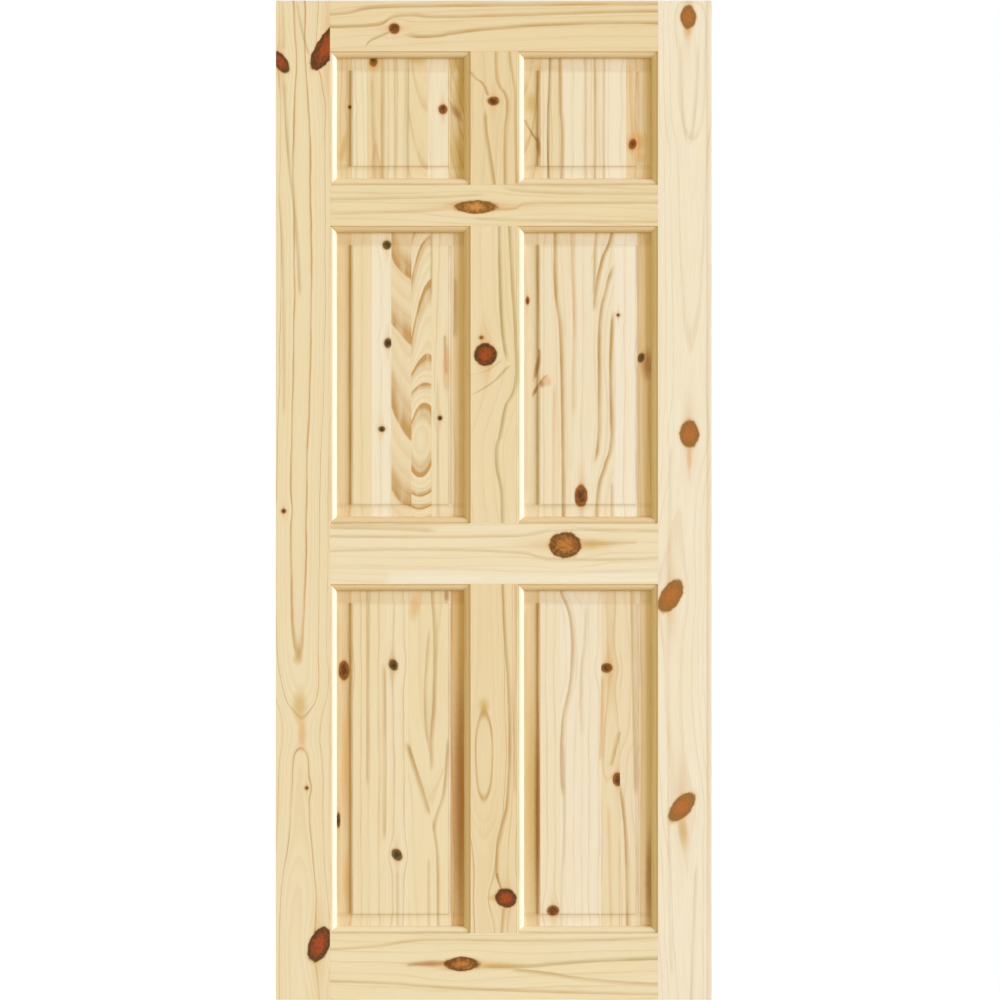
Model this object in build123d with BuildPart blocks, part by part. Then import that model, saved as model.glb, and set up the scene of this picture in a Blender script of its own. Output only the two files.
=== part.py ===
"""Six-panel pine door leaf: moulded stiles, rails and mullions around raised panels held in grooves.

Millimetres. X runs from the hinge edge to the lock edge, Y from the front face to the back, Z up.
The origin is on the hinge edge, at mid thickness, level with the bottom of the leaf.
"""

import os

from build123d import *

# Leaf
DOOR_WIDTH = 864.0
DOOR_HEIGHT = 1981.0
DOOR_THICKNESS = 35.0
ARRIS_RADIUS = 1.5  # rounding of the stiles' outer corners

# Flat faces of the frame members, without their mouldings
STILE_FACE = 107.0
MULLION_FACE = 93.0
TOP_RAIL_FACE = 101.0
FRIEZE_RAIL_FACE = 82.0
LOCK_RAIL_FACE = 121.0
BOTTOM_RAIL_FACE = 133.0

# Panel openings between the rails' flat faces; the bottom row takes the rest of the height
TOP_OPENING_HEIGHT = 264.0
MIDDLE_OPENING_HEIGHT = 589.0

# Moulding along the inner edges: a square quirk, a quarter round and a narrow lip at the groove
QUIRK_DEPTH = 2.5
QUIRK_FLAT = 2.0
ROUND_WIDTH = 11.0
LIP_HEIGHT = 1.0

# Groove that holds the panels
GROOVE_WIDTH = 8.0
GROOVE_DEPTH = 12.0

# Raised panels, alike on both faces
PANEL_THICKNESS = 18.0
SIDE_BEVEL_WIDTH = 28.0  # from the moulding to the field, left and right
END_BEVEL_WIDTH = 23.0  # the same, above and below
FIELD_STEP = 2.0  # height of the step around the field
FIELD_STEP_RUN = 0.8  # how far that step leans in
TONGUE_CLEARANCE = 0.15  # each side of the tongue in its groove
TONGUE_END_GAP = 1.5  # room for the panel to swell

# Sizes that follow
MOULDING_WIDTH = QUIRK_FLAT + ROUND_WIDTH
OPENING_WIDTH = (DOOR_WIDTH - 2 * STILE_FACE - MULLION_FACE) / 2
BOTTOM_OPENING_HEIGHT = (
    DOOR_HEIGHT
    - (TOP_RAIL_FACE + FRIEZE_RAIL_FACE + LOCK_RAIL_FACE + BOTTOM_RAIL_FACE)
    - (TOP_OPENING_HEIGHT + MIDDLE_OPENING_HEIGHT)
)
RAIL_LENGTH = DOOR_WIDTH - 2 * STILE_FACE
SHOWN_WIDTH = OPENING_WIDTH - 2 * MOULDING_WIDTH
TONGUE_THICKNESS = GROOVE_WIDTH - 2 * TONGUE_CLEARANCE
TONGUE_LENGTH = GROOVE_DEPTH - TONGUE_END_GAP

# Heights of the faces' edges, from the bottom up
BOTTOM_OPENING_BASE = BOTTOM_RAIL_FACE
LOCK_RAIL_BASE = BOTTOM_OPENING_BASE + BOTTOM_OPENING_HEIGHT
MIDDLE_OPENING_BASE = LOCK_RAIL_BASE + LOCK_RAIL_FACE
FRIEZE_RAIL_BASE = MIDDLE_OPENING_BASE + MIDDLE_OPENING_HEIGHT
TOP_OPENING_BASE = FRIEZE_RAIL_BASE + FRIEZE_RAIL_FACE
TOP_RAIL_BASE = TOP_OPENING_BASE + TOP_OPENING_HEIGHT

# Left edges of the openings
LEFT_OPENING_START = STILE_FACE
MULLION_START = LEFT_OPENING_START + OPENING_WIDTH
RIGHT_OPENING_START = MULLION_START + MULLION_FACE
RIGHT_STILE_START = RIGHT_OPENING_START + OPENING_WIDTH


def save(part, name):
    """Label a finished piece and write it to its own file."""
    part.label = name
    export_step(part, f"parts/{name}.step")


def moulding_side(corner, along, inward, length):
    """One side of the moulding round an opening, mitred at both ends, before its groove is cut."""
    groove_half = GROOVE_WIDTH / 2
    quirk_level = DOOR_THICKNESS / 2 - QUIRK_DEPTH
    round_end = (MOULDING_WIDTH, groove_half + LIP_HEIGHT)
    across = Plane(corner, x_dir=inward, z_dir=along)
    flat = Plane(corner, x_dir=along, z_dir=Vector(along).cross(Vector(inward)))
    with BuildPart() as side:
        with BuildSketch(across):
            with BuildLine():
                Polyline((0, 0), (0, quirk_level), (QUIRK_FLAT, quirk_level))
                TangentArc((QUIRK_FLAT, quirk_level), round_end, tangent=(1, 0))
                Polyline(round_end, (MOULDING_WIDTH, 0), (0, 0))
            make_face()
            mirror(about=Plane.XZ)
        extrude(amount=length)
        with BuildSketch(flat):
            with BuildLine():
                Polyline(
                    (0, 0),
                    (length, 0),
                    (length - MOULDING_WIDTH, MOULDING_WIDTH),
                    (MOULDING_WIDTH, MOULDING_WIDTH),
                    close=True,
                )
            make_face()
        extrude(amount=DOOR_THICKNESS, both=True, mode=Mode.INTERSECT)
    return side.part


def opening_middle(start, base, height):
    """Plane at mid thickness in the middle of an opening, facing the front."""
    centre = (start + OPENING_WIDTH / 2, 0, base + height / 2)
    return Plane(centre, x_dir=(1, 0, 0), z_dir=(0, -1, 0))


def make_groove(start, base, height):
    """The space that the grooves around one opening leave for its panel."""
    with BuildPart() as groove:
        with BuildSketch(opening_middle(start, base, height)):
            Rectangle(
                SHOWN_WIDTH + 2 * GROOVE_DEPTH,
                height - 2 * MOULDING_WIDTH + 2 * GROOVE_DEPTH,
            )
        extrude(amount=GROOVE_WIDTH / 2, both=True)
    return groove.part


def make_panel(start, base, height):
    """A raised panel, its tongue in the grooves around one opening."""
    middle = opening_middle(start, base, height)
    shown_height = height - 2 * MOULDING_WIDTH
    field_width = SHOWN_WIDTH - 2 * SIDE_BEVEL_WIDTH
    field_height = shown_height - 2 * END_BEVEL_WIDTH
    field_level = PANEL_THICKNESS / 2
    step_foot = middle.offset(field_level - FIELD_STEP)
    with BuildPart() as panel:
        with BuildSketch(middle):
            Rectangle(SHOWN_WIDTH + 2 * TONGUE_LENGTH, shown_height + 2 * TONGUE_LENGTH)
        extrude(amount=TONGUE_THICKNESS / 2)
        with BuildSketch(middle.offset(TONGUE_THICKNESS / 2)):
            Rectangle(SHOWN_WIDTH, shown_height)
        with BuildSketch(step_foot):
            Rectangle(field_width, field_height)
        loft(ruled=True)
        with BuildSketch(step_foot):
            Rectangle(field_width, field_height)
        with BuildSketch(middle.offset(field_level)):
            Rectangle(field_width - 2 * FIELD_STEP_RUN, field_height - 2 * FIELD_STEP_RUN)
        loft(ruled=True)
        mirror(about=middle)
    return panel.part


def make_core(start, base, width, height):
    """The full-thickness board of a frame member, before its moulded edges."""
    with BuildPart() as core:
        with BuildSketch(Plane((start, 0, base))):
            with Locations((width / 2, 0)):
                Rectangle(width, DOOR_THICKNESS)
        extrude(amount=height)
    return core.part


def make_member(core, sides, grooves):
    """A frame member: its board, the mouldings on its edges and the grooves cut into them."""
    with BuildPart() as member:
        add(core)
        add(sides)
        add(grooves, mode=Mode.SUBTRACT)
    return member.part


def ease_outer_edge(stile, outer_edge):
    """Round the two long corners of a stile at the leaf's outer edge."""
    with BuildPart() as eased:
        add(stile)
        fillet(eased.edges().filter_by(Axis.Z).group_by(Axis.X)[outer_edge], radius=ARRIS_RADIUS)
    return eased.part


os.makedirs("parts", exist_ok=True)

ROWS = {
    "bottom": (BOTTOM_OPENING_BASE, BOTTOM_OPENING_HEIGHT),
    "middle": (MIDDLE_OPENING_BASE, MIDDLE_OPENING_HEIGHT),
    "top": (TOP_OPENING_BASE, TOP_OPENING_HEIGHT),
}
COLUMNS = {"left": LEFT_OPENING_START, "right": RIGHT_OPENING_START}

UP = (0, 0, 1)
DOWN = (0, 0, -1)
RIGHT = (1, 0, 0)
LEFT = (-1, 0, 0)

# The four sides of each opening's moulding, and its groove
left_sides = {}
right_sides = {}
bottom_sides = {}
top_sides = {}
grooves = {}
for row, (base, height) in ROWS.items():
    for column, start in COLUMNS.items():
        low_left = (start, 0, base)
        low_right = (start + OPENING_WIDTH, 0, base)
        high_left = (start, 0, base + height)
        left_sides[row, column] = moulding_side(low_left, UP, RIGHT, height)
        right_sides[row, column] = moulding_side(low_right, UP, LEFT, height)
        bottom_sides[row, column] = moulding_side(low_left, RIGHT, UP, OPENING_WIDTH)
        top_sides[row, column] = moulding_side(high_left, RIGHT, DOWN, OPENING_WIDTH)
        grooves[row, column] = make_groove(start, base, height)
        save(make_panel(start, base, height), f"{row}_{column}_panel")

left_stile = make_member(
    make_core(0, 0, STILE_FACE, DOOR_HEIGHT),
    [left_sides[row, "left"] for row in ROWS],
    [grooves[row, "left"] for row in ROWS],
)
right_stile = make_member(
    make_core(RIGHT_STILE_START, 0, STILE_FACE, DOOR_HEIGHT),
    [right_sides[row, "right"] for row in ROWS],
    [grooves[row, "right"] for row in ROWS],
)
save(ease_outer_edge(left_stile, 0), "left_stile")
save(ease_outer_edge(right_stile, -1), "right_stile")

for row, (base, height) in ROWS.items():
    mullion = make_member(
        make_core(MULLION_START, base, MULLION_FACE, height),
        [right_sides[row, "left"], left_sides[row, "right"]],
        [grooves[row, column] for column in COLUMNS],
    )
    save(mullion, f"{row}_mullion")

# Each rail with its base, its face and the rows of openings below and above it
RAILS = {
    "bottom_rail": (0, BOTTOM_RAIL_FACE, None, "bottom"),
    "lock_rail": (LOCK_RAIL_BASE, LOCK_RAIL_FACE, "bottom", "middle"),
    "frieze_rail": (FRIEZE_RAIL_BASE, FRIEZE_RAIL_FACE, "middle", "top"),
    "top_rail": (TOP_RAIL_BASE, TOP_RAIL_FACE, "top", None),
}
for name, (base, face, row_below, row_above) in RAILS.items():
    rows = [row for row in (row_below, row_above) if row]
    rail = make_member(
        make_core(STILE_FACE, base, RAIL_LENGTH, face),
        [top_sides[row_below, column] for column in COLUMNS if row_below]
        + [bottom_sides[row_above, column] for column in COLUMNS if row_above],
        [grooves[row, column] for row in rows for column in COLUMNS],
    )
    save(rail, name)
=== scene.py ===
"""Looks of a six-panel knotty-pine door leaf: finely moulded meshes and a grain for every board."""

import math
from collections import namedtuple

import bmesh
import bpy
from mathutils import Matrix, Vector


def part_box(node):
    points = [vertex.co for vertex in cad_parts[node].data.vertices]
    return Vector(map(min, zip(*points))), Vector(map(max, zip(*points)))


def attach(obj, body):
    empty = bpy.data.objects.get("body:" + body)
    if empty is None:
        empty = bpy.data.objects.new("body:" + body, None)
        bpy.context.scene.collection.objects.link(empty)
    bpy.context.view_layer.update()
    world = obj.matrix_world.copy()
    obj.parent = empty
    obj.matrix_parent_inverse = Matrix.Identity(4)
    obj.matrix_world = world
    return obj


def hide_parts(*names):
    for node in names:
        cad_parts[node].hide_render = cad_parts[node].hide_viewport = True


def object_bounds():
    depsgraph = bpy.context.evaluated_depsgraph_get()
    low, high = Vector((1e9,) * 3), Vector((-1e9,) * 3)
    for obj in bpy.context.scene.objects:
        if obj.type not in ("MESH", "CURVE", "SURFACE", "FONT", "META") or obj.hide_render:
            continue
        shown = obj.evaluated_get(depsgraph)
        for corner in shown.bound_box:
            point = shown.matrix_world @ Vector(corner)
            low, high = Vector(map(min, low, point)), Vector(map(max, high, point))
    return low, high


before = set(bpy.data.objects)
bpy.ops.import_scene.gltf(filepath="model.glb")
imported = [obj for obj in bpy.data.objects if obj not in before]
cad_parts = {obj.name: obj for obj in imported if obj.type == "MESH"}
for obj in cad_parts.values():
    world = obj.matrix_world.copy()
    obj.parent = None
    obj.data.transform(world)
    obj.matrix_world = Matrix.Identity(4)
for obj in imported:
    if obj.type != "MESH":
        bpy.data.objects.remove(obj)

cad_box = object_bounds()

# The leaf, in metres, from its own pieces
DOOR_LOW, DOOR_HIGH = Vector(cad_box[0]), Vector(cad_box[1])
DOOR_WIDTH = DOOR_HIGH.x - DOOR_LOW.x
DOOR_HEIGHT = DOOR_HIGH.z - DOOR_LOW.z
HALF_THICKNESS = (DOOR_HIGH.y - DOOR_LOW.y) / 2

# Moulding and groove, in metres
QUIRK_DEPTH = 0.0025
QUIRK_FLAT = 0.002
ROUND_WIDTH = 0.011
MOULDING_WIDTH = QUIRK_FLAT + ROUND_WIDTH
LIP_HEIGHT = 0.001
GROOVE_HALF = 0.004
GROOVE_DEPTH = 0.012
ROUND_STEPS = 14

# Raised panels, in metres
TONGUE_HALF = 0.00385
TONGUE_LENGTH = 0.0105
FIELD_HALF = 0.009
FIELD_STEP = 0.002
FIELD_STEP_RUN = 0.0008
SIDE_BEVEL_WIDTH = 0.028
END_BEVEL_WIDTH = 0.023
FIELD_SIDE = MOULDING_WIDTH + SIDE_BEVEL_WIDTH  # from the opening's edge to the field
FIELD_END = MOULDING_WIDTH + END_BEVEL_WIDTH

# Softened corners
ARRIS = 0.0004
SHARP_ANGLE = math.radians(25)
SMOOTH_ANGLE = math.radians(12)  # the round's facets meet at less than this
WELD_DISTANCE = 1e-6

ROWS = ("top", "middle", "bottom")
COLUMNS = ("left", "right")
# The rows of openings below and above each rail
RAIL_ROWS = {
    "top_rail": ("top", None),
    "frieze_rail": ("middle", "top"),
    "lock_rail": ("bottom", "middle"),
    "bottom_rail": (None, "bottom"),
}

# Where the leaf's edges lie in the photograph, in its pixels
PHOTO_SIZE = 1000
PHOTO_LEFT = 276.3
PHOTO_RIGHT = 711.5
PHOTO_TOP = 0.5
PHOTO_BOTTOM = 1000.0

MM = 1000.0
MM_PER_PIXEL = DOOR_HEIGHT * MM / (PHOTO_BOTTOM - PHOTO_TOP)


def door_x(pixel):
    """Millimetres from the hinge edge of a photograph's column."""
    return (pixel - PHOTO_LEFT) / (PHOTO_RIGHT - PHOTO_LEFT) * DOOR_WIDTH * MM


def door_z(pixel):
    """Millimetres from the bottom of a photograph's row."""
    return (PHOTO_BOTTOM - pixel) / (PHOTO_BOTTOM - PHOTO_TOP) * DOOR_HEIGHT * MM


def photo_x(x):
    """Photograph's column of a place in metres from the hinge edge."""
    return PHOTO_LEFT + x / DOOR_WIDTH * (PHOTO_RIGHT - PHOTO_LEFT)


def photo_y(z):
    """Photograph's row of a height in metres."""
    return PHOTO_BOTTOM - z / DOOR_HEIGHT * (PHOTO_BOTTOM - PHOTO_TOP)


# Meshes

Opening = namedtuple("Opening", "left bottom right top")


def moulding_outline():
    """Section of a moulded edge from front to back, as (distance from the flat face's edge, y)."""
    quirk_level = HALF_THICKNESS - QUIRK_DEPTH
    lip_level = GROOVE_HALF + LIP_HEIGHT
    fall = quirk_level - lip_level
    radius = (ROUND_WIDTH**2 + fall**2) / (2 * fall)
    sweep = 2 * math.atan2(fall, ROUND_WIDTH)
    front = [(0, HALF_THICKNESS), (0, quirk_level)]
    for step in range(ROUND_STEPS + 1):
        angle = sweep * step / ROUND_STEPS
        front.append((QUIRK_FLAT + radius * math.sin(angle), quirk_level - radius * (1 - math.cos(angle))))
    front.append((MOULDING_WIDTH, GROOVE_HALF))
    front.append((MOULDING_WIDTH - GROOVE_DEPTH, GROOVE_HALF))
    return [(d, -y) for d, y in front] + [(d, y) for d, y in reversed(front)]


def add_piece(name, mesh_builder):
    """A finished piece that stands for the CAD node of the same name."""
    built = bmesh.new()
    mesh_builder(built)
    bmesh.ops.remove_doubles(built, verts=built.verts, dist=WELD_DISTANCE)
    bmesh.ops.recalc_face_normals(built, faces=built.faces)
    mesh = bpy.data.meshes.new(f"{name}_mesh")
    built.to_mesh(mesh)
    built.free()
    piece = bpy.data.objects.new(f"{name}_board", mesh)
    bpy.context.scene.collection.objects.link(piece)
    bevel = piece.modifiers.new("soft corners", "BEVEL")
    bevel.width = ARRIS
    bevel.segments = 2
    bevel.limit_method = "ANGLE"
    bevel.angle_limit = SHARP_ANGLE
    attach(piece, "root")
    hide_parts(name)
    return piece


def build_member(built, low, high, upright, low_openings, high_openings):
    """A frame member's closed skin: a board from low to high (x, z) with moulded edges along its openings.

    The openings are (start, end) along the member, on the edges at its low and high side.
    """
    along_low, along_high = (low[1], high[1]) if upright else (low[0], high[0])
    edges = (low[0], high[0]) if upright else (low[1], high[1])
    outline = moulding_outline()

    def vertex(along, across, y):
        x, z = (across, along) if upright else (along, across)
        return built.verts.new((x, y, z))

    stations = []
    for across, openings, inward in ((edges[0], low_openings, -1), (edges[1], high_openings, 1)):
        stops = sorted({along_low, along_high, *(stop for opening in openings for stop in opening)})
        stations.append([(along, across) for along in stops])
        for start, end in zip(stops, stops[1:]):
            if (start, end) not in openings:
                corners = ((start, -1), (end, -1), (end, 1), (start, 1))
                built.faces.new([vertex(along, across, y * HALF_THICKNESS) for along, y in corners])
                continue
            first = [vertex(start + d, across + inward * d, y) for d, y in outline]
            last = [vertex(end - d, across + inward * d, y) for d, y in outline]
            built.faces.new(first)
            built.faces.new(last)
            for i in range(len(outline) - 1):
                built.faces.new((first[i], last[i], last[i + 1], first[i + 1]))
    rim = stations[0] + stations[1][::-1]
    for y in (-HALF_THICKNESS, HALF_THICKNESS):
        built.faces.new([vertex(along, across, y) for along, across in rim])
    for along in (along_low, along_high):
        corners = ((edges[0], -1), (edges[1], -1), (edges[1], 1), (edges[0], 1))
        built.faces.new([vertex(along, across, y * HALF_THICKNESS) for across, y in corners])


def build_panel(built, opening):
    """A raised panel's closed skin in an opening, alike on both faces."""
    tongue_inset = MOULDING_WIDTH - TONGUE_LENGTH
    rings = (
        (tongue_inset, tongue_inset, TONGUE_HALF),
        (MOULDING_WIDTH, MOULDING_WIDTH, TONGUE_HALF),
        (FIELD_SIDE, FIELD_END, FIELD_HALF - FIELD_STEP),
        (FIELD_SIDE + FIELD_STEP_RUN, FIELD_END + FIELD_STEP_RUN, FIELD_HALF),
    )

    def ring(side, end, y):
        left, right = opening.left + side, opening.right - side
        bottom, top = opening.bottom + end, opening.top - end
        corners = ((left, bottom), (right, bottom), (right, top), (left, top))
        return [built.verts.new((x, y, z)) for x, z in corners]

    levels = [ring(side, end, -y) for side, end, y in reversed(rings)]
    levels += [ring(side, end, y) for side, end, y in rings]
    built.faces.new(levels[0])
    built.faces.new(levels[-1])
    for a, b in zip(levels, levels[1:]):
        for i in range(4):
            built.faces.new((a[i], a[(i + 1) % 4], b[(i + 1) % 4], b[i]))


def find_openings():
    """The openings between the frame members' flat faces, found from the panels' tongues."""
    openings = {}
    inset = MOULDING_WIDTH - TONGUE_LENGTH
    for row in ROWS:
        for column in COLUMNS:
            low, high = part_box(f"{row}_{column}_panel")
            openings[row, column] = Opening(low.x - inset, low.z - inset, high.x + inset, high.z + inset)
    return openings


OPENINGS = find_openings()


def panel_opening(name):
    """The opening of a panel, by the panel's name."""
    row, column, _ = name.split("_")
    return OPENINGS[row, column]


def column_spans(column):
    """The (start, end) heights of one column's openings."""
    return [(OPENINGS[row, column].bottom, OPENINGS[row, column].top) for row in ROWS]


def row_spans(row):
    """The (start, end) along x of one row's openings, or none."""
    return [(OPENINGS[row, column].left, OPENINGS[row, column].right) for column in COLUMNS if row]


def make_boards():
    """Every board of the leaf, by the name of the CAD node that it stands for."""
    boards = {}
    left, right = OPENINGS["top", "left"], OPENINGS["top", "right"]
    bottom, top = DOOR_LOW.z, DOOR_HIGH.z

    def member(name, low, high, upright, low_openings, high_openings):
        boards[name] = add_piece(
            name,
            lambda built: build_member(built, low, high, upright, low_openings, high_openings),
        )

    member("left_stile", (DOOR_LOW.x, bottom), (left.left, top), True, [], column_spans("left"))
    member("right_stile", (right.right, bottom), (DOOR_HIGH.x, top), True, column_spans("right"), [])
    for name, (row_below, row_above) in RAIL_ROWS.items():
        base = OPENINGS[row_below, "left"].top if row_below else bottom
        head = OPENINGS[row_above, "left"].bottom if row_above else top
        below, above = row_spans(row_below), row_spans(row_above)
        member(name, (left.left, base), (right.right, head), False, below, above)
    for row in ROWS:
        base, head = OPENINGS[row, "left"].bottom, OPENINGS[row, "left"].top
        span = [(base, head)]
        member(f"{row}_mullion", (left.right, base), (right.left, head), True, span, span)
        for column in COLUMNS:
            name = f"{row}_{column}_panel"
            opening = OPENINGS[row, column]
            boards[name] = add_piece(name, lambda built: build_panel(built, opening))
    for piece in boards.values():
        bpy.context.view_layer.objects.active = piece
        bpy.ops.object.modifier_apply(modifier="soft corners")
        piece.data.shade_smooth()
        piece.data.set_sharp_from_angle(angle=SMOOTH_ANGLE)
    return boards


# Grain, read off the photograph: lengths along and across a board are in its pixels

# A strip of wood with its growth rings, which are the contours of (across - centre)^2 + swell, one every
# spread. centre and swell are lists of (along, value) points, or one value. light and warm shift the
# colour, band is the strength of the shade before each dark line, and line is where in the ring it starts.
Grain = namedtuple(
    "Grain",
    "start end centre spread contrast light warm swell phase band line",
    defaults=(420.0, 0.5, 0.0, 0.0, 0.0, 0.0, 0.3, 0.72),
)

# A knot or stain. The power shapes its outline along the grain: 2 is an ellipse, less is more pointed.
Knot = namedtuple("Knot", "tone x y width height tilt power", defaults=(0, 2.0))
SPINDLE = 1.3
TEARDROP = 1.6

# A single growth line through (along, across) points. It fades out over soft, to the right or upwards,
# or the other way where soft is negative. Its ends fade out over run_out, in millimetres.
Streak = namedtuple("Streak", "points width soft strength tone run_out", defaults=("tan", 30.0))

# The columns where a mullion and its flat face start and end
MULLION_START, MULLION_FACE_START, MULLION_FACE_END, MULLION_END = 464, 470.5, 517.3, 527
# How far outside a moulding its rings are centred
EDGE_CENTRE = 40


def edge(start, end, warm=0.4, light=0.0):
    """The plain strip of a frame member's moulding. Its warmth is painted shade on the moulding, and its
    paleness is painted light where the moulding faces the key light.
    """
    return Grain(start, end, start - EDGE_CENTRE, 600, 0.2, light, warm)


def mullion(centre, *looks, **marks):
    """A mullion's face between its two mouldings: the left moulding warmer with painted shade, the right
    one paler with painted light.
    """
    return (
        edge(MULLION_START, MULLION_FACE_START),
        Grain(MULLION_FACE_START, MULLION_FACE_END, centre, *looks, **marks),
        edge(MULLION_FACE_END, MULLION_END, warm=0.0, light=0.1),
    )


# The strips of each frame member; the moulding strips carry painted shade as warmth and painted light as
# paleness
FRAME_GRAIN = {
    "left_stile": (
        Grain(
            276, 330.2, [(0, 300), (230, 303), (620, 298), (722, 302), (900, 299), (1000, 300)],
            420, 0.85, 0.1,
            swell=[
                (0, 0), (600, 0), (664, 64), (695, 200), (722, 484), (733, 512),
                (745, 484), (762, 403), (820, 369), (900, 142), (1000, 60),
            ],
            phase=-0.152, band=0.05, line=0.88,
        ),
        # painted light: this moulding faces the key light and is paler
        edge(330.2, 345, warm=0.0, light=0.2),
    ),
    "right_stile": (
        edge(645, 657.6),
        Grain(
            657.6, 712, [(0, 690), (150, 692), (430, 688), (620, 672), (820, 684), (1000, 690)],
            300, 0.2, 0.65, -0.25,
            swell=[
                (0, 300), (80, 100), (150, 330), (300, 500),
                (435, 640), (600, 500), (810, 560), (1000, 700),
            ],
            band=0.15,
        ),
    ),
    "top_rail": (
        Grain(
            0, 51.4, [(331, 224), (400, 219), (500, 215), (600, 212), (660, 211)], 3900, 0.2, 0.0, 0.1,
            phase=0.05,
        ),
        edge(51.4, 60),
    ),
    "frieze_rail": (
        edge(176, 184.6, warm=0.3),
        Grain(184.6, 226, [(331, 96), (430, 98), (476, 99), (560, 100), (660, 104)], 1900, 0.25, -0.05),
        edge(226, 236, warm=0.6),
    ),
    "lock_rail": (
        edge(514, 523.2, warm=0.55),
        Grain(
            523.2, 584.2, [(331, 450), (450, 452), (565, 448), (620, 447), (660, 446)],
            1900, 0.2, 0.2, -0.1,
        ),
        edge(584.2, 594, warm=0.5),
    ),
    "bottom_rail": (
        edge(924, 932.9, warm=0.0),
        Grain(
            932.9, 1000, [(331, 1090), (410, 1092), (461, 1094), (560, 1091), (660, 1088)],
            2800, 0.22, 0.05, -0.1,
        ),
    ),
    "top_mullion": mullion([(50, 380), (100, 386), (140, 384), (185, 382)], 2600, 0.2, -0.05, 0.2),
    "middle_mullion": mullion(
        [(226, 408), (300, 409), (370, 414), (395, 411), (425, 402), (450, 397), (523, 402)],
        2100, 0.15, 0.05, 0.1, phase=0.35,
    ),
    "bottom_mullion": mullion(
        [(584, 485), (650, 485), (752, 483.5), (850, 484), (933, 485)], 429, 0.75, 0.0, 0.15,
        swell=[
            (584, 60), (650, 30), (700, 0), (752, -100),
            (805, 0), (850, 260), (880, 300), (933, 300),
        ],
        band=0.0, line=0.88,
    ),
}

# The rows of Knot values of each board, stains first
KNOTS = {
    "left_stile": (
        ("orange", 302.5, 734, 11, 36),
        ("honey", 300, 706, 17, 38),
        ("honey", 298, 659, 12, 14),
        ("red", 281, 62, 13, 25, -34),
        ("red", 328, 46, 21, 56, 33),
        ("dark", 284, 511, 5, 5),
        ("dark", 307, 788, 4, 4),
        ("red", 319.5, 944.5, 21, 37, 22),
    ),
    "right_stile": (
        ("orange", 687, 31, 10, 20, 0, SPINDLE),
        ("orange", 689, 458, 6, 50, 0, SPINDLE),
        ("honey", 683, 832, 12, 44, -8, SPINDLE),
        ("amber", 688, 17, 16, 24, 0, TEARDROP),
        ("amber", 689, 434, 20, 28, 0, TEARDROP),
        ("amber", 670.5, 596, 20, 37, 30),
        ("amber", 681.5, 807, 19, 36, 42, TEARDROP),
    ),
    "top_rail": (("dark", 394.5, 28.5, 11, 11),),
    "frieze_rail": (("tawny", 476, 207, 44, 14, 0, SPINDLE),),
    "lock_rail": (
        ("honey", 592, 544, 60, 12, 0, SPINDLE),
        ("rust", 565, 545, 32, 26),
    ),
    "bottom_rail": (
        ("umber", 432, 963.5, 56, 8, 0, SPINDLE),
        ("honey", 500, 966, 60, 9, 0, SPINDLE),
        ("rust", 462, 964, 36, 15, 0, SPINDLE),
    ),
    "top_mullion": (("dark", 493.5, 101, 12, 9),),
    "middle_mullion": (
        ("dark", 481.5, 337.5, 5, 4),
        ("red", 485.5, 354.5, 23, 23),
    ),
    "bottom_mullion": (
        ("honey", 484, 706, 13, 20),
        ("orange", 493, 898, 14, 8),
        ("red", 506, 898, 22, 19, 20),
    ),
    "top_left_panel": (
        ("honey", 418, 59, 20, 15),
        ("honey", 460, 90, 14, 80, 6),
        ("honey", 458, 155, 18, 60, -6),
        ("honey", 455, 62, 11, 28, 8),
        ("honey", 373.5, 62.5, 17, 20),
        ("umber", 456, 112, 8, 24, -30),
        ("honey", 343, 150, 8, 40, 12),
        ("dark", 373.5, 61.5, 8, 11),
        ("dark", 443, 109, 9, 10),
        ("dark", 350, 107, 4, 4),
    ),
    "top_right_panel": (
        ("honey", 531, 103, 13, 26),
        ("orange", 538.5, 73, 5, 16),
        ("umber", 538.5, 146, 6, 26, -8),
        ("orange", 638, 142, 20, 26),
        ("orange", 640, 158, 14, 14),
        ("orange", 634, 143, 22, 24),
        ("dark", 632.5, 144, 8, 11, 20),
    ),
    "middle_left_panel": (
        ("orange", 447, 366, 11, 76, 0, SPINDLE),
        ("black", 387, 245, 9, 9),
        ("black", 388, 343, 8, 10),
        ("black", 382, 429, 7, 6),
        ("black", 440, 418, 5, 5),
    ),
    "middle_right_panel": (
        ("dark", 527.5, 301, 4, 8),
        ("orange", 546, 381, 17, 13, 20),
        ("umber", 541, 384, 9, 8, 40),
        ("umber", 534.5, 392, 4, 14, 20),
        ("umber", 537, 366, 5, 32, 14),
        ("umber", 647, 365, 16, 36),
        ("dark", 581, 496, 13, 23),
        ("black", 641, 358, 7, 10, 20),
        ("dark", 618, 315, 3.5, 3.5),
    ),
    "bottom_left_panel": (
        ("orange", 415, 606, 13, 36, 8),
        ("umber", 446.5, 596, 6, 16),
        ("orange", 346, 765, 12, 150),
        ("orange", 347, 880, 9, 70),
        ("umber", 460, 800, 18, 300),
        ("dark", 344, 671, 11, 20),
        ("black", 393.5, 665, 9, 12, -20),
        ("black", 397, 855, 10, 13, -30),
        ("black", 338.5, 821, 4, 16),
    ),
    "bottom_right_panel": (
        ("honey", 532, 800, 16, 260),
        ("umber", 537.5, 810, 8, 240),
        ("umber", 650, 880, 12, 120),
        ("dark", 606.5, 668, 12, 10),
        ("dark", 617.5, 779.5, 10, 14),
        ("dark", 553, 911, 12, 11),
    ),
}
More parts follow.
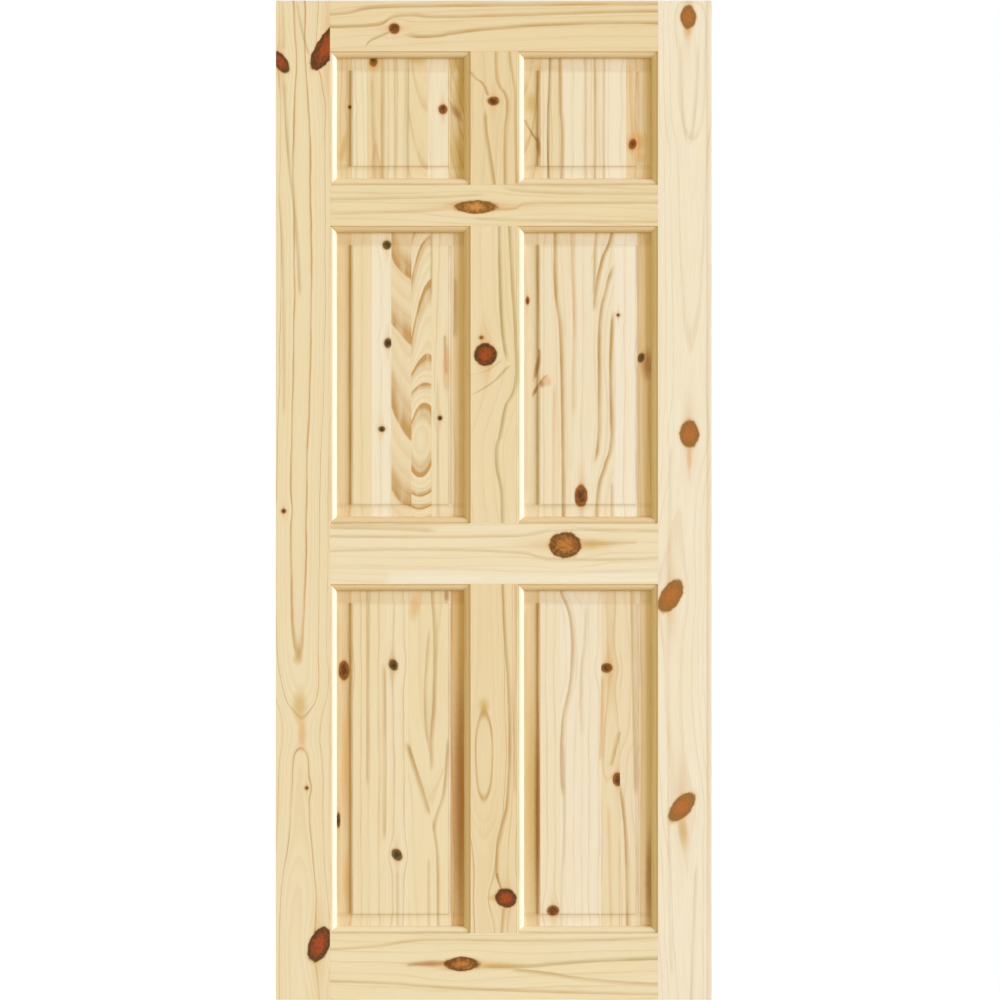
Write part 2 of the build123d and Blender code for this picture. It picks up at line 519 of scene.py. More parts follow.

# The strips that each panel is glued up from. The warmth of the outer strips, over the bevels, is partly
# the wood's own tone and partly painted shade.
PANEL_GRAIN = {
    "top_left_panel": (
        Grain(325, 352, 330, 160, 0.45, -0.1, 0.32),
        Grain(352, 367, 340, 300, 0.3, 0.22, -0.1),
        Grain(367, 385, 376, 110, 0.4, -0.1, 0.2, swell=[(50, 0), (78, 120), (184, 60)]),
        Grain(385, 408, 370, 420, 0.35, 0.1),
        Grain(408, 428, 428, 420, 0.4, 0.0, 0.1, swell=[(50, 0), (184, 900)]),
        Grain(428, 448, 455, 700, 0.2, 0.35, -0.15),
        Grain(448, 480, 476, 300, 0.65, 0.0, 0.32, swell=[(50, 0), (184, 1500)]),
    ),
    "top_right_panel": (
        Grain(510, 541, 520, 300, 0.5, -0.05, 0.25, swell=[(50, 0), (184, 700)]),
        Grain(541, 549, 530, 200, 0.3, 0.25, 0.05),
        Grain(549, 561, 575, 300, 0.35, 0.15, 0.2),
        Grain(561, 585, 550, 600, 0.2, 0.5, -0.05),
        Grain(585, 604, 545, 760, 0.25, 0.4, 0.05),
        Grain(604, 626, 650, 900, 0.2, 0.6, -0.1),
        Grain(626, 670, 600, 700, 0.45, 0.0, 0.4),
    ),
    "middle_left_panel": (
        Grain(325, 352, 335, 260, 0.5, -0.1, 0.45),
        Grain(352, 372, 380, 380, 0.25, 0.05, 0.05),
        Grain(372, 391.5, 360, 500, 0.2, 0.6, -0.3),
        Grain(
            391.5, 411.5, 421, 2360, 1.15, 0.15, 0.18,
            swell=[(220, 60), (284, 2310), (350, 4670), (446, 7030), (515, 9390), (525, 9730)],
            phase=0.02, band=0.95,
        ),
        Grain(
            411.5, 431.5, [(220, 432), (280, 431), (330, 429), (400, 426), (455, 421), (525, 420)],
            400, 1.3, 0.1,
            swell=[
                (220, 1500), (277, 1000), (327, 711), (352, 600), (382, 200), (402, -200), (416, -330),
                (440, -480), (462, -360), (478, -200), (497, 200), (511, 600), (525, 1000),
            ],
            phase=0.5, band=0.55,
        ),
        Grain(
            431.5, 453.5, 447, 160, 0.35, 0.15,
            swell=[(220, 60), (300, 30), (337, 0), (370, -40), (400, 0), (525, 60)],
            phase=0.1,
        ),
        Grain(
            453.5, 480, 462, 140, 0.5, 0.0, 0.5,
            swell=[(220, 0), (285, 60), (380, 0), (470, 80), (525, 20)],
        ),
    ),
    "middle_right_panel": (
        Grain(510, 539.5, 530, 140, 0.4, 0.3, 0.2, swell=[(220, 0), (300, 60), (370, 0), (525, 80)]),
        Grain(539.5, 551, 560, 300, 0.3, 0.4),
        Grain(
            551, 571, [(220, 493), (340, 500), (420, 502), (525, 503)], 1100, 0.2, 0.4, 0.05,
            phase=0.1,
        ),
        Grain(571, 591, [(220, 660), (525, 657)], 1500, 0.25, 0.5),
        Grain(
            591, 614, [(220, 690), (265, 683), (301, 673), (335, 669), (440, 670), (482, 660), (525, 652)],
            1500, 0.2, 0.45, phase=0.2,
        ),
        Grain(614, 637, 690, 1500, 0.25, 0.75, -0.2),
        Grain(637, 670, 660, 160, 0.5, 0.0, 0.5, swell=[(220, 0), (300, 90), (380, 20), (525, 110)]),
    ),
    "bottom_left_panel": (
        Grain(325, 352, 340, 170, 0.5, 0.0, 0.42, swell=[(580, 0), (700, 70), (820, 10), (935, 60)]),
        Grain(352, 368, 330, 520, 0.4, 0.05, 0.05),
        Grain(368, 386.5, 420, 900, 0.35, 0.1),
        Grain(386.5, 408, 350, 1000, 0.45, 0.2, -0.05),
        Grain(
            408, 451, [(580, 432), (690, 428), (745, 429), (810, 431), (935, 437)], 395, 0.2, 0.05,
            swell=[(580, -640), (622, -520), (690, -480), (745, -400), (808, -9), (850, -5), (935, -5)],
        ),
        Grain(451, 480, 462, 150, 0.6, -0.2, 0.9, swell=[(580, 60), (680, 0), (800, 60), (935, 10)]),
    ),
    "bottom_right_panel": (
        Grain(510, 540, 528, 160, 0.5, 0.0, 0.5, swell=[(580, 0), (700, 60), (820, 0), (935, 60)]),
        Grain(540, 560, 510, 700, 0.3, 0.4),
        Grain(
            560, 583, [(580, 490), (592, 493), (652, 503), (724, 493), (844, 491), (935, 492)],
            1400, 0.2, 0.65,
        ),
        Grain(583, 601, 640, 900, 0.25, 0.65),
        Grain(
            601, 620, 611, 110, 0.45, 0.2, 0.15,
            swell=[(580, 0), (668, 60), (762, 10), (790, 90), (935, 70)],
            phase=0.3,
        ),
        Grain(
            620, 640, [(580, 553), (721, 556), (787, 542), (844, 547), (935, 549)],
            1400, 0.25, 0.35, 0.2, phase=0.1,
        ),
        Grain(640, 670, 650, 170, 0.45, 0.0, 0.4, swell=[(580, 0), (760, 70), (935, 0)]),
    ),
}

# The rows of Streak values of each board
STREAKS = {
    "left_stile": (
        ([(0, 283), (30, 284), (52, 285)], 1.5, 0, 0.35, "olive"),
        ([(0, 297), (25, 301), (45, 306), (58, 310)], 1.5, 2, 0.4, "olive"),
        ([(75, 284), (138, 287), (239, 297), (300, 300)], 1.5, 3, 0.5, "olive"),
        ([(190, 278), (239, 282), (330, 284), (420, 284)], 1.5, 2, 0.35, "olive"),
    ),
    "right_stile": (
        ([(40, 680), (107, 682), (147, 687.5)], 2, 3, 0.25),
        ([(40, 698), (107, 695), (147, 689.5)], 2, -3, 0.25),
        ([(-20, 707), (500, 708), (1020, 708)], 4, 0, 0.25),
        ([(440, 672), (700, 668), (980, 672)], 2, 3, 0.2),
        ([(860, 696), (930, 693), (1020, 690)], 2, 3, 0.3),
    ),
    "top_rail": (
        ([(310, 15.5), (345, 13.5), (380, 7.5), (500, 5.5), (680, 4)], 1.6, 4, 0.65),
        ([(310, 27), (345, 27), (378, 25), (396, 16.5), (412, 15.5), (430, 17), (500, 16), (600, 12.5),
         (680, 11)], 1.6, 4, 0.7),
        ([(402, 33), (412, 36.5), (425, 37), (450, 34), (490, 29), (560, 24.5), (620, 23), (680, 24)],
         1.8, 4, 0.75),
        ([(365, 48), (369, 42), (378, 37), (391, 32)], 2, 2, 0.6, "olive"),
    ),
    "frieze_rail": (
        ([(440, 206), (490, 203.5), (499, 209.5), (517, 208), (527, 203.5), (600, 203), (680, 203)],
         1.4, 3, 0.5),
        ([(500, 187), (551, 193), (600, 194), (680, 194)], 1.6, 4, 0.4),
        ([(310, 200), (360, 199), (440, 197), (490, 194)], 1.6, 3, 0.35, "olive"),
        ([(310, 214), (400, 212), (455, 209)], 1.6, 3, 0.35),
        ([(470, 219), (560, 221), (680, 222)], 1.4, 3, 0.35),
    ),
    "lock_rail": (
        ([(380, 576), (470, 575), (560, 574), (680, 574)], 20, 10, 0.8, "pale"),
        # painted shade: widens the quirk's dark band along the lock rail's upper edge
        ([(320, 526), (380, 527), (440, 530)], 7, 2, 0.4),
        ([(310, 536), (420, 537), (520, 536), (552, 531), (590, 530), (680, 534)], 1.4, 3, 0.35),
        ([(310, 552), (420, 550), (520, 553), (550, 559), (590, 560), (680, 553)], 1.4, 3, 0.35),
        ([(580, 544), (600, 543.5), (640, 542)], 3, 2, 0.4),
        ([(310, 568), (450, 569), (560, 572), (680, 568)], 1.4, 3, 0.16),
    ),
    "bottom_rail": (
        ([(310, 951), (380, 946), (435, 940), (520, 941), (680, 937)], 1.4, 3, 0.4),
        ([(310, 981), (380, 983), (435, 987), (520, 991), (680, 995)], 1.6, 3, 0.5),
        ([(478, 965), (505, 967), (560, 964), (600, 961), (680, 958)], 1.8, 4, 0.55, "olive"),
        ([(505, 969), (540, 972), (587, 979), (640, 983), (680, 985)], 1.8, -4, 0.55),
        ([(405, 965), (425, 963.5), (448, 963)], 3.5, 1, 0.55, "olive"),
    ),
    "top_mullion": (
        ([(70, 470), (78, 475), (83, 482), (97, 488)], 1.8, 3, 0.75),
        ([(108, 485), (125, 486), (140, 488), (165, 492), (195, 496)], 1.6, -4, 0.7),
        ([(30, 495), (50, 495.5), (74, 496), (95, 505), (105, 507), (130, 505), (195, 505)], 1.6, 4, 0.7),
        ([(30, 508), (50, 509), (80, 513), (95, 515), (120, 515), (195, 517)], 1.6, 3, 0.6),
    ),
    "middle_mullion": (
        ([(215, 499), (295, 500), (335, 502.5), (355, 505.5), (364, 509)], 1.6, 4, 0.7, "olive"),
        ([(364, 511), (372, 503), (380, 495.5), (388, 484), (396, 470)], 2.6, 2, 0.55, "olive"),
        ([(360, 502), (366, 495), (371.5, 485.5), (374.5, 472.5), (376, 466)], 4.0, 0, 0.4, "olive"),
        ([(215, 508.5), (275, 511.5), (335, 515), (371, 516), (406, 505.5), (436, 499.5), (456, 496),
         (496, 501.5), (535, 502)], 1.8, 4, 0.65, "olive"),
    ),
    "bottom_mullion": (
        ([(570, 502), (633, 504.5), (693, 508.5), (746, 509.5), (790, 508), (833, 500.5), (866, 496.5),
         (885, 497)], 1.8, 3, 0.75),
        ([(570, 514), (652, 515.5), (723, 514), (800, 516)], 1.4, 3, 0.4),
        ([(872, 496.5), (882, 499), (891, 502)], 1.8, 1, 0.7, "brown"),
        ([(906, 504), (918, 503), (940, 501)], 2.2, 1, 0.6, "brown"),
    ),
    "top_left_panel": (
        ([(40, 383), (110, 382), (195, 383)], 2.0, 4, 0.55),
        ([(40, 407), (110, 408), (195, 407)], 2.0, -4, 0.45, "olive"),
        ([(72, 372), (120, 373), (195, 376)], 3.0, 3, 0.4),
        ([(40, 393), (120, 395), (195, 394)], 1.6, 4, 0.35),
    ),
    "top_right_panel": (
        ([(40, 550.5), (92, 549), (122, 548), (195, 549)], 1.6, 1.5, 0.85, "brown"),
        ([(40, 559.5), (107, 560.5), (138, 562), (195, 559.5)], 1.8, 4, 0.7),
        ([(40, 585), (195, 585.5)], 1.6, 2, 0.5),
        ([(40, 594), (107, 595), (195, 594)], 2.0, 2, 0.7),
        ([(40, 604), (195, 604)], 1.6, -2, 0.5),
        ([(118, 524), (130, 530), (142, 538)], 1.6, 2, 0.7, "brown"),
        ([(60, 630), (110, 631), (140, 634)], 3, 4, 0.4, "orange"),
    ),
    "middle_left_panel": (
        ([(215, 431.5), (285, 431.5), (300, 431)], 1.6, 0, 0.5, "olive"),
        ([(375, 437), (420, 438), (530, 437)], 1.6, 2, 0.35),
        ([(275, 455), (300, 456), (340, 454)], 4, 3, 0.4, "brown"),
        ([(333, 444.5), (350, 445), (376, 446.5)], 1.6, 3, 0.6, "brown"),
    ),
    "middle_right_panel": (
        ([(215, 555), (275, 555), (328, 560), (396, 562), (535, 563)], 2.2, 4, 0.85),
        ([(215, 570.5), (275, 572.5), (328, 574), (376, 573), (420, 573)], 2.5, 5, 0.5, "orange"),
        ([(215, 598), (265, 594.5), (300, 594)], 2.0, 3, 0.6),
        ([(215, 613), (235, 611), (261, 601.5), (301, 594.5), (315, 594)], 2.2, 4, 0.85),
        ([(262, 614), (291, 605.5), (325, 599.5), (396, 599), (436, 598.5), (466, 593)], 2.2, 4, 0.85),
        ([(308, 613), (356, 610.5), (416, 611), (434, 611.5), (466, 604.5), (496, 597.5), (530, 596)],
         2.2, 4, 0.85),
        ([(480, 611.5), (535, 611.5)], 1.6, 3, 0.5),
        ([(380, 554), (440, 553.5), (535, 553)], 1.8, 3, 0.4, "orange"),
        ([(347, 538.5), (360, 539.5), (370, 537.5), (379, 535)], 2, 1, 0.9, "brown"),
        ([(374, 548), (379, 543), (386, 538), (394, 535)], 1.8, 1, 0.8, "brown"),
    ),
    "bottom_left_panel": (
        ([(575, 367), (685, 367.5), (762, 367.5), (790, 367)], 1.8, 3, 0.5),
        ([(660, 384), (760, 385.5), (845, 384)], 2.0, -4, 0.5),
        ([(575, 431), (595, 432), (658, 434.5), (707, 433.5), (748, 431), (775, 432)], 2.0, 4, 0.65),
        ([(625, 429.5), (660, 427), (699, 425), (748, 429), (760, 431)], 1.8, 3, 0.5),
        ([(740, 407), (747, 409), (768, 415.5), (809, 428), (818, 430)], 2.6, -5, 0.85),
        ([(735, 448), (748, 447.5), (790, 444), (822, 435), (836, 433)], 2.0, 3, 0.6),
        ([(815, 432), (833, 434.5), (861, 437.5), (899, 438), (940, 438)], 1.8, 3, 0.6),
        ([(855, 428.5), (940, 428.5)], 1.5, 3, 0.35),
        ([(868, 397), (940, 397.5)], 1.5, 3, 0.4),
    ),
    "bottom_right_panel": (
        ([(575, 558), (592, 561), (639, 572), (674, 571), (724, 562.5), (762, 561), (800, 563)],
         2.0, 4, 0.65),
        ([(740, 562), (817, 564), (899, 561), (940, 561)], 1.6, 3, 0.3),
        ([(600, 586), (641, 584.5), (688, 580.5), (740, 582)], 1.8, 4, 0.35),
        ([(672, 602.5), (700, 602), (765, 600)], 2.5, 5, 0.6, "orange"),
        ([(730, 620), (750, 615), (768, 610.5)], 3.0, -3, 0.6),
        ([(780, 619), (787, 620), (844, 625.5), (913, 627), (940, 627)], 2.0, 3, 0.75),
        ([(575, 631), (666, 632.5), (735, 634), (800, 635)], 2.0, 4, 0.55),
        ([(800, 608), (913, 610.5), (940, 611)], 2.0, 4, 0.35, "orange"),
    ),
}

# Colours, as red, green and blue from 0 to 255. Olive, tan and brown also serve as painted shade in the
# quirks, along the panels' fields and on their upper bevels.
STREAK_COLOURS = {
    "tan": (192, 154, 90),
    "olive": (174, 148, 82),
    "brown": (168, 124, 62),
    "orange": (214, 164, 98),
    "pale": (246, 240, 226),
}
EARLY_WOOD = (241, 227, 194)
LATE_WOOD = (200, 158, 100)
PALE_WOOD = (246, 238, 224)
DEEP_WOOD = (228, 200, 152)
# WARM_WOOD serves the wood's warm threads and strips, knot halos and trails, and the painted shade of the
# moulding and bevel strips
WARM_WOOD = (218, 166, 98)
# Core and rim of a knot
KNOT_COLOURS = {
    "red": ((166, 68, 8), (82, 42, 0)),
    "rust": ((192, 122, 54), (112, 66, 10)),
    "tawny": ((212, 148, 78), (138, 88, 24)),
    "amber": ((188, 108, 46), (150, 104, 44)),
    "dark": ((80, 38, 0), (150, 88, 24)),
    "black": ((38, 28, 4), (112, 84, 32)),
}
# Stains without an outline, with how far they cover the wood
STAIN_COLOURS = {
    "orange": ((222, 164, 88), 0.5),
    "honey": ((206, 168, 78), 0.55),
    "umber": ((162, 102, 36), 0.65),
}

# Sizes of the noise in the grain, along and across it, in millimetres
SWAY_SCALE = (190.0, 70.0)
JITTER_SCALE = (26.0, 7.0)
UNEVEN_SCALE = (120.0, 16.0)
PATCH_SCALE = (260.0, 34.0)
THREAD_SCALE = (150.0, 3.2)
FIBRE_SCALE = (34.0, 0.7)
DASH_SCALE = (7.0, 0.55)

# How far the grain wanders, and how far into the board one ring lies behind another, in millimetres
SWAY = 13.0
JITTER = 1.6
RING_DEPTH = 45.0

# Shifts of the noise from strip to strip and from board to board
STRIP_SHIFT = 17.3
BOARD_SHIFT = 31.7

# Where in a ring its shades rise and fall, and how many fine rings lie in one
RING_END = (1.0, 0.95)
LINE_FULL_SHARE, LINE_FULL_START = 0.25, 0.73
BAND_RISE, BAND_POWER = (0.3, 0.95), 1.6
FINE_RINGS = 3.7
FINE_RISE, FINE_FALL = (0.25, 0.9), (1.0, 0.92)

# How strongly each kind of mark shows, as a share or as (reach, least)
UNEVEN_FADE = (0.25, 0.7)
RING_SHOW = (0.6, 0.45)
FINE_SHOW = 0.13
STREAK_VARY = (0.45, 0.6)
PATCH_SHOW, LIGHT_SHOW = 0.7, 1.3
WARM_THREADS, THREAD_WARMTH, STRIP_WARMTH, WARM_SHOW = (0.35, 0.75), 0.25, 0.9, 0.62
FIBRE_SHOW, THREAD_SHOW, DASH_FADE, DASH_SHOW = 0.12, 0.16, (0.68, 0.8), -0.07

# Blur of a streak's sides in millimetres, and shares of its width, of its soft side and of its strength
STREAK_BLUR, STREAK_RISE = 2.6, 0.8
STREAK_CORE, STREAK_TAIL, STREAK_SHOW = 0.75, 0.6, 1.15
STREAK_END = 0.12
SHORT_RUN_OUT = 4.0

# Shares of the painted shade on a panel's level edges, and where it lies above the field's edge, in
# millimetres
UPPER_BEVEL_SHADE, UPPER_BEVEL_RISE = 0.22, (-9.0, 3.0)
FIELD_FOOT_SHADE, FIELD_FOOT_RISE, FIELD_FOOT_FALL = 0.15, (-9.0, -2.0), (7.0, 1.0)

# A knot's lean into the board, its ragged rim, and how far it pushes the grain and leaves a trail in it
KNOT_LEAN = 0.25
RAGGED_SCALE, RAGGED_DEPTH_SCALE, RAGGED = 0.09, 0.05, 0.26
KNOT_SWAY_ALONG, KNOT_SWAY_ACROSS = 9.0, 5.0
BULGE_LENGTH, BULGE_WIDTH, BULGE_PULL = 1.7, 1.5, -0.9
TRAIL_LENGTH, TRAIL_WIDTH, TRAIL_SHOW = 2.0, 0.55, 0.4

# A knot's shades: blur and halo in millimetres, the rest as shares of its radius or strength
KNOT_BLUR, KNOT_SHOW = 2.0, 0.97
HALO_REACH, HALO_START, HALO_SHOW = 7.0, 0.95, 0.35
RIM_FADE, RIM_SHADE, CORE_SHADE = (0.2, 0.95), 0.85, 0.15
RAY_ALONG, RAY_ACROSS, RAY_SHOW = 0.14, 0.16, 2.2
STAIN_FADE = (1.2, 0.2)

# Surface: relief as shares of the bump's distance in metres
WOOD_ROUGHNESS, KNOT_POLISH, WOOD_SHINE = 0.62, -0.05, 0.3
RING_RELIEF, FIBRE_RELIEF, KNOT_RELIEF = 0.35, 0.3, 0.2
BUMP_STRENGTH, BUMP_DISTANCE = 0.35, 0.0006


def linear(colour):
    """A 0 to 255 screen colour as linear light, with alpha."""
    channels = [c / 255 for c in colour]
    return [c / 12.92 if c <= 0.04045 else ((c + 0.055) / 1.055) ** 2.4 for c in channels] + [1.0]


class Tree:
    """Writes a node tree as expressions: every call adds a node and returns its output."""

    def __init__(self, tree):
        self.tree = tree

    def node(self, kind, **settings):
        made = self.tree.nodes.new(kind)
        for name, value in settings.items():
            setattr(made, name, value)
        return made

    def plug(self, socket, value):
        if isinstance(value, bpy.types.NodeSocket):
            self.tree.links.new(value, socket)
        else:
            socket.default_value = value

    def math(self, operation, *values, clamp=False):
        made = self.node("ShaderNodeMath", operation=operation, use_clamp=clamp)
        for socket, value in zip(made.inputs, values):
            self.plug(socket, value)
        return made.outputs[0]

    def add(self, a, b):
        return self.math("ADD", a, b)

    def subtract(self, a, b):
        return self.math("SUBTRACT", a, b)

    def times(self, *values):
        product = values[0]
        for value in values[1:]:
            product = self.math("MULTIPLY", product, value)
        return product

    def scale(self, value, factor, offset, clamp=False):
        """The value times a factor, plus an offset."""
        return self.math("MULTIPLY_ADD", value, factor, offset, clamp=clamp)

    def share(self, a, b):
        """a times b, kept between 0 and 1."""
        return self.math("MULTIPLY", a, b, clamp=True)

    def centred(self, noise):
        """Noise that lies around 0."""
        return self.subtract(noise, 0.5)

    def fade(self, value, low, high, smooth=True):
        """0 at low and 1 at high, which may be the smaller one."""
        made = self.node("ShaderNodeMapRange", interpolation_type="SMOOTHSTEP" if smooth else "LINEAR")
        self.plug(made.inputs["Value"], value)
        self.plug(made.inputs["From Min"], low)
        self.plug(made.inputs["From Max"], high)
        return made.outputs["Result"]

    def vector(self, x, y, z):
        made = self.node("ShaderNodeCombineXYZ")
        for socket, value in zip(made.inputs, (x, y, z)):
            self.plug(socket, value)
        return made.outputs[0]

    def noise(self, vector, detail=2.0, roughness=0.5):
        made = self.node("ShaderNodeTexNoise")
        self.plug(made.inputs["Vector"], vector)
        self.plug(made.inputs["Scale"], 1.0)
        self.plug(made.inputs["Detail"], detail)
        self.plug(made.inputs["Roughness"], roughness)
        return made.outputs[0]

    def mix(self, share, a, b, blend="MIX"):
        made = self.node("ShaderNodeMix", data_type="RGBA", blend_type=blend)
        self.plug(made.inputs[0], share)
        self.plug(made.inputs[6], a)
        self.plug(made.inputs[7], b)
        return made.outputs[2]

    def curve(self, value, points):
        """A smooth curve through (value, result) points, or the one number given instead."""
        if not isinstance(points, list):
            return points
        points = sorted(points)
        starts, results = zip(*points)
        low, high = min(results), max(results)
        if low == high:
            return low
        made = self.node("ShaderNodeFloatCurve")
        spline = made.mapping.curves[0]
        places = [
            ((start - starts[0]) / (starts[-1] - starts[0]), (result - low) / (high - low))
            for start, result in points
        ]
        spline.points[0].location = places[0]
        spline.points[-1].location = places[-1]
        for place in places[1:-1]:
            spline.points.new(*place)
        made.mapping.update()
        self.plug(made.inputs["Value"], self.fade(value, starts[0], starts[-1], smooth=False))
        return self.scale(made.outputs[0], high - low, low)


class Wood(Tree):
    """The node tree of one board, with the places along, across and into its grain in millimetres."""

    def __init__(self, tree, strips, upright, face_level, seed):
        super().__init__(tree)
        self.strips, self.upright = strips, upright
        split = self.node("ShaderNodeSeparateXYZ")
        self.plug(split.inputs[0], self.node("ShaderNodeTexCoord").outputs["Object"])
        x, self.height = self.times(split.outputs["X"], MM), self.times(split.outputs["Z"], MM)
        self.along, self.across = (self.height, x) if upright else (x, self.height)
        self.depth = self.scale(split.outputs["Y"], MM, face_level * MM)
        self.to_along, self.to_across = (door_z, door_x) if upright else (door_x, door_z)
        bounds = [(self.to_across(strip.start), self.to_across(strip.end)) for strip in strips]
        self.masks = [self.math("COMPARE", self.across, (a + b) / 2, abs(b - a) / 2) for a, b in bounds]
        number = self.choose([float(i) for i in range(len(strips))])
        self.shift = self.scale(number, STRIP_SHIFT, seed * BOARD_SHIFT)

    def choose(self, values):
        """The value of the strip on which a place lies."""
        total = 0.0
        for mask, value in zip(self.masks, values):
            total = self.scale(mask, value, total)
        return total

    def own(self, field):
        """What the table of the strip on which a place lies says."""
        return self.choose([getattr(strip, field) for strip in self.strips])

    def grain_noise(self, scale, **settings):
        """Noise that is drawn out along the grain."""
        along_scale, across_scale = scale
        place = self.vector(
            self.times(self.across, 1 / across_scale),
            self.scale(self.depth, 1 / across_scale, self.shift),
            self.times(self.along, 1 / along_scale),
        )
        return self.noise(place, **settings)


def knot_group():
    """Distance from a knot's middle, 1 at its rim, and the bulge and trail that it makes in the grain."""
    group = bpy.data.node_groups.new("knot", "ShaderNodeTree")
    places = ("Along", "Across", "Depth", "Ragged", "Middle Along", "Middle Across")
    for name in (*places, "Half Length", "Half Width", "Tilt", "Power"):
        group.interface.new_socket(name=name, in_out="INPUT", socket_type="NodeSocketFloat")
    for name in ("Distance", "Bulge", "Trail"):
        group.interface.new_socket(name=name, in_out="OUTPUT", socket_type="NodeSocketFloat")
    t = Tree(group)
    given = t.node("NodeGroupInput").outputs
    result = t.node("NodeGroupOutput").inputs
    half_length, half_width = given["Half Length"], given["Half Width"]
    along = t.subtract(given["Along"], t.scale(given["Depth"], KNOT_LEAN, given["Middle Along"]))
    across = t.subtract(given["Across"], given["Middle Across"])
    cosine, sine = t.math("COSINE", given["Tilt"]), t.math("SINE", given["Tilt"])
    long_way = t.add(t.times(along, cosine), t.times(across, sine))
    short_way = t.subtract(t.times(across, cosine), t.times(along, sine))

    def squared(a, reach):
        return t.math("POWER", t.math("DIVIDE", a, reach), 2.0)

    def bell(along_reach, across_reach):
        squares = t.add(squared(along, along_reach), squared(across, across_reach))
        return t.math("EXPONENT", t.times(squares, -1.0))

    long_share = t.math("ABSOLUTE", t.math("DIVIDE", long_way, half_length))
    long_share = t.math("POWER", long_share, given["Power"])
    distance = t.math("SQRT", t.add(long_share, squared(short_way, half_width)))
    t.plug(result["Distance"], t.add(distance, given["Ragged"]))
    bulge_length = t.scale(half_length, BULGE_LENGTH, KNOT_SWAY_ALONG)
    bulge_width = t.scale(half_width, BULGE_WIDTH, KNOT_SWAY_ACROSS)
    t.plug(result["Bulge"], bell(bulge_length, bulge_width))
    trail_length = t.scale(half_length, TRAIL_LENGTH, KNOT_SWAY_ALONG)
    t.plug(result["Trail"], bell(trail_length, t.times(half_width, TRAIL_WIDTH)))
    return group


KNOT_GROUP = knot_group()


def add_knots(t, name):
    """The knot nodes of one board, each with its table row."""
    made = []
    scales = (t.along, RAGGED_SCALE), (t.across, RAGGED_SCALE), (t.depth, RAGGED_DEPTH_SCALE)
    ragged = t.noise(t.vector(*(t.times(place, scale) for place, scale in scales)))
    ragged = t.times(t.centred(ragged), RAGGED)
    for knot in (Knot(*row) for row in KNOTS[name]):
        x, z = door_x(knot.x), door_z(knot.y)
        half_width, half_height = knot.width * MM_PER_PIXEL / 2, knot.height * MM_PER_PIXEL / 2
        inputs = {
            "Along": t.along,
            "Across": t.across,
            "Depth": t.depth,
            "Ragged": ragged,
            "Middle Along": z if t.upright else x,
            "Middle Across": x if t.upright else z,
            "Half Length": half_height if t.upright else half_width,
            "Half Width": half_width if t.upright else half_height,
            "Tilt": math.radians(knot.tilt),
            "Power": knot.power,
        }
        node = t.node("ShaderNodeGroup", node_tree=KNOT_GROUP)
        for socket, value in inputs.items():
            t.plug(node.inputs[socket], value)
        made.append((knot, node))
    return made


def bend_grain(t, knots, jitter):
    """The place across the board that the grain follows: it wanders, and parts around each knot."""
    sway = t.times(t.centred(t.grain_noise(SWAY_SCALE)), SWAY)
    bent = t.add(t.across, t.add(sway, jitter))
    for knot, node in knots:
        if knot.tone not in STAIN_COLOURS:
            gap = t.subtract(t.across, node.inputs["Middle Across"].default_value)
            bent = t.scale(t.times(gap, node.outputs["Bulge"]), BULGE_PULL, bent)
    return bent


def strip_rings(t, strip, across):
    """The growth rings of one strip as a number that rises by one from ring to ring."""
    area = MM_PER_PIXEL**2

    def placed(points, convert):
        if isinstance(points, list):
            return [(t.to_along(place), convert(value)) for place, value in points]
        return convert(points)

    centre = t.curve(t.along, placed(strip.centre, t.to_across))
    swell = t.curve(t.along, placed(strip.swell, lambda value: value * area))
    offset = t.subtract(across, centre)
    return t.scale(t.add(t.times(offset, offset), swell), 1 / (strip.spread * area), strip.phase)


def ring_shade(t, bent, uneven):
    """How much of the dark late wood shows, from the growth rings and the finer ones between them."""
    rings = t.choose([strip_rings(t, strip, bent) for strip in t.strips])
    rings = t.scale(t.depth, 1 / RING_DEPTH, rings)
    phase = t.math("FRACT", rings)
    ring_end = t.fade(phase, *RING_END)
    line_start = t.own("line")
    line_full = t.scale(line_start, LINE_FULL_SHARE, LINE_FULL_START)
    line = t.times(t.fade(phase, line_start, line_full), ring_end)
    band = t.times(t.math("POWER", t.fade(phase, *BAND_RISE), BAND_POWER), ring_end)
    late = t.math("MAXIMUM", line, t.times(band, t.own("band")))
    fine_phase = t.math("FRACT", t.times(rings, FINE_RINGS))
    fine = t.times(t.fade(fine_phase, *FINE_RISE), t.fade(fine_phase, *FINE_FALL))
    contrast = t.own("contrast")
    shade = t.times(t.scale(uneven, *RING_SHOW), t.times(late, contrast))
    return t.scale(t.times(fine, contrast), FINE_SHOW, shade, clamp=True)


def wood_colour(t, threads):
    """Early wood, paler, deeper or warmer from strip to strip and in soft patches. On the moulding strips
    the warmth is painted shade and the paleness painted light; on the panels' outer strips the warmth is
    partly painted shade.
    """
    patches = t.grain_noise(PATCH_SCALE, detail=3)
    paleness = t.scale(t.centred(patches), PATCH_SHOW, t.times(t.own("light"), LIGHT_SHOW))
    colour = t.mix(t.share(paleness, 1.0), linear(EARLY_WOOD), linear(PALE_WOOD))
    colour = t.mix(t.share(paleness, -1.0), colour, linear(DEEP_WOOD))
    warmth = t.scale(t.fade(threads, *WARM_THREADS), THREAD_WARMTH, t.times(t.own("warm"), STRIP_WARMTH))
    return t.mix(t.math("MAXIMUM", t.times(warmth, WARM_SHOW), 0.0), colour, linear(WARM_WOOD))


